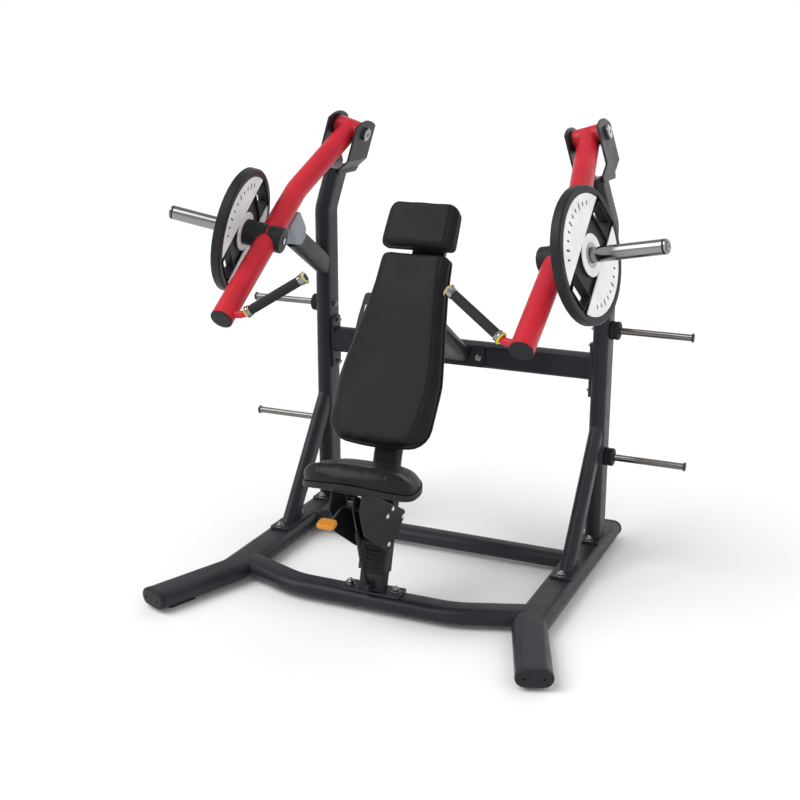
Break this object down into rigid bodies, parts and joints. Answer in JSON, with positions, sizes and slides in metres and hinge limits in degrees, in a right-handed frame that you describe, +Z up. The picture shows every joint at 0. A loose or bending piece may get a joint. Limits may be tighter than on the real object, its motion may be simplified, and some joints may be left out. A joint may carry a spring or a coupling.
{
  "type": "chest press machine",
  "caption": "Plate-loaded chest press machine with two converging press arms, weight discs on sleeves, a sloping backrest and a height-adjustable seat.",
  "frame": {"origin": "middle of the footprint on the floor", "axes": "+Z up; the seated user faces -Y; +X is the user's left-hand side, where the arm named right is (named as a viewer in front sees it)"},
  "size_m": [1.8162, 1.3168, 1.6327],
  "materials": {
    "frame_paint": "satin powder coat",
    "arm_paint": "satin powder coat",
    "zinc_steel": "bright zinc",
    "chrome": "polished",
    "black_rubber": "matte",
    "grey_rubber": "matte",
    "black_plastic": "moulded",
    "rack_coating": "matte",
    "strut_coating": "semi-gloss",
    "lever_paint": "semi-gloss",
    "black_leather": "fine grain"
  },
  "bodies": {
    "frame": {"left_base_rail": "frame_paint", "right_base_rail": "frame_paint", "left_rail_front_cap": "black_plastic", "right_rail_front_cap": "black_plastic", "left_rail_rear_cap": "black_plastic", "right_rail_rear_cap": "black_plastic", "left_front_foot": "black_rubber", "right_front_foot": "black_rubber", "left_rear_foot": "black_rubber", "right_rear_foot": "black_rubber", "left_upright": "frame_paint", "right_upright": "frame_paint", "left_brace": "frame_paint", "right_brace": "frame_paint", "left_pivot_plate_outer": "frame_paint", "right_pivot_plate_outer": "frame_paint", "left_pivot_plate_inner": "frame_paint", "right_pivot_plate_inner": "frame_paint", "left_pivot_bush_outer": "black_plastic", "right_pivot_bush_outer": "black_plastic", "left_pivot_bush_inner": "black_plastic", "right_pivot_bush_inner": "black_plastic", "left_pivot_shaft": "chrome", "right_pivot_shaft": "chrome", "left_stop_strut": "frame_paint", "right_stop_strut": "frame_paint", "left_stop_block": "grey_rubber", "right_stop_block": "grey_rubber", "left_storage_peg_upper": "zinc_steel", "right_storage_peg_upper": "zinc_steel", "left_storage_peg_lower": "zinc_steel", "right_storage_peg_lower": "zinc_steel", "front_crossbar": "frame_paint", "rear_crossbar": "frame_paint", "mid_crossbeam": "frame_paint", "back_support": "frame_paint", "seat_column": "frame_paint", "height_rack": "rack_coating", "pad_plate": "frame_paint", "back_pad": "black_leather", "head_pad": "black_leather", "accessory_bracket": "frame_paint"},
    "right_arm": {"right_press_arm": "arm_paint", "right_arm_plug": "black_plastic", "right_hand_grip": "black_rubber", "right_grip_end_cap": "chrome", "right_weight_sleeve": "chrome"},
    "left_arm": {"left_press_arm": "arm_paint", "left_arm_plug": "black_plastic", "left_hand_grip": "black_rubber", "left_grip_end_cap": "chrome", "left_weight_sleeve": "chrome"},
    "right_disc": {"right_weight_disc": "black_rubber"},
    "left_disc": {"left_weight_disc": "black_rubber"},
    "seat": {"seat_carriage": "frame_paint", "seat_pad": "black_leather"},
    "gas_cylinder": {"gas_cylinder": "strut_coating"},
    "gas_rod": {"gas_rod": "zinc_steel"},
    "release_lever": {"release_lever": "lever_paint"},
    "latch": {"latch_tooth": "zinc_steel"}
  },
  "joints": [
    {"name": "right_arm_pivot", "type": "hinge", "parent": "frame", "child": "right_arm", "pos_m": [0.47196, 0.5012, 1.56467], "axis": [-0.9563, 0, -0.2924], "range_deg": [0, 45]},
    {"name": "left_arm_pivot", "type": "hinge", "parent": "frame", "child": "left_arm", "pos_m": [-0.47196, 0.5012, 1.56467], "axis": [-0.9563, 0, 0.2924], "range_deg": [0, 45]},
    {"name": "right_disc_slide", "type": "slide", "parent": "right_arm", "child": "right_disc", "axis": [0.9686, -0.1465, 0.2011], "range_m": [0, 0.24]},
    {"name": "left_disc_slide", "type": "slide", "parent": "left_arm", "child": "left_disc", "axis": [-0.9686, -0.1465, 0.2011], "range_m": [0, 0.24]},
    {"name": "seat_height", "type": "slide", "parent": "frame", "child": "seat", "axis": [0, 0.274, 0.9617], "range_m": [-0.08, 0]},
    {"name": "gas_strut_swing", "type": "hinge", "parent": "frame", "child": "gas_cylinder", "pos_m": [0, -0.3698, 0.108], "axis": [1, 0, 0], "range_deg": [0, 8.3]},
    {"name": "gas_strut_stroke", "type": "slide", "parent": "gas_cylinder", "child": "gas_rod", "axis": [0, -0.2919, 0.9564], "range_m": [-0.065, 0]},
    {"name": "lever_pull", "type": "hinge", "parent": "seat", "child": "release_lever", "pos_m": [0, -0.3251, 0.3582], "axis": [-1, 0, 0], "range_deg": [-9, 9]},
    {"name": "latch_slide", "type": "slide", "parent": "seat", "child": "latch", "axis": [0, -0.9617, 0.274], "range_m": [-0.004, 0.004]}
  ],
  "couplings": [
    {"joint": "gas_strut_swing", "follows": "seat_height", "rad_per_m": -1.8},
    {"joint": "gas_strut_stroke", "follows": "seat_height", "ratio": 0.81},
    {"joint": "latch_slide", "follows": "lever_pull", "m_per_rad": 0.025}
  ]
}
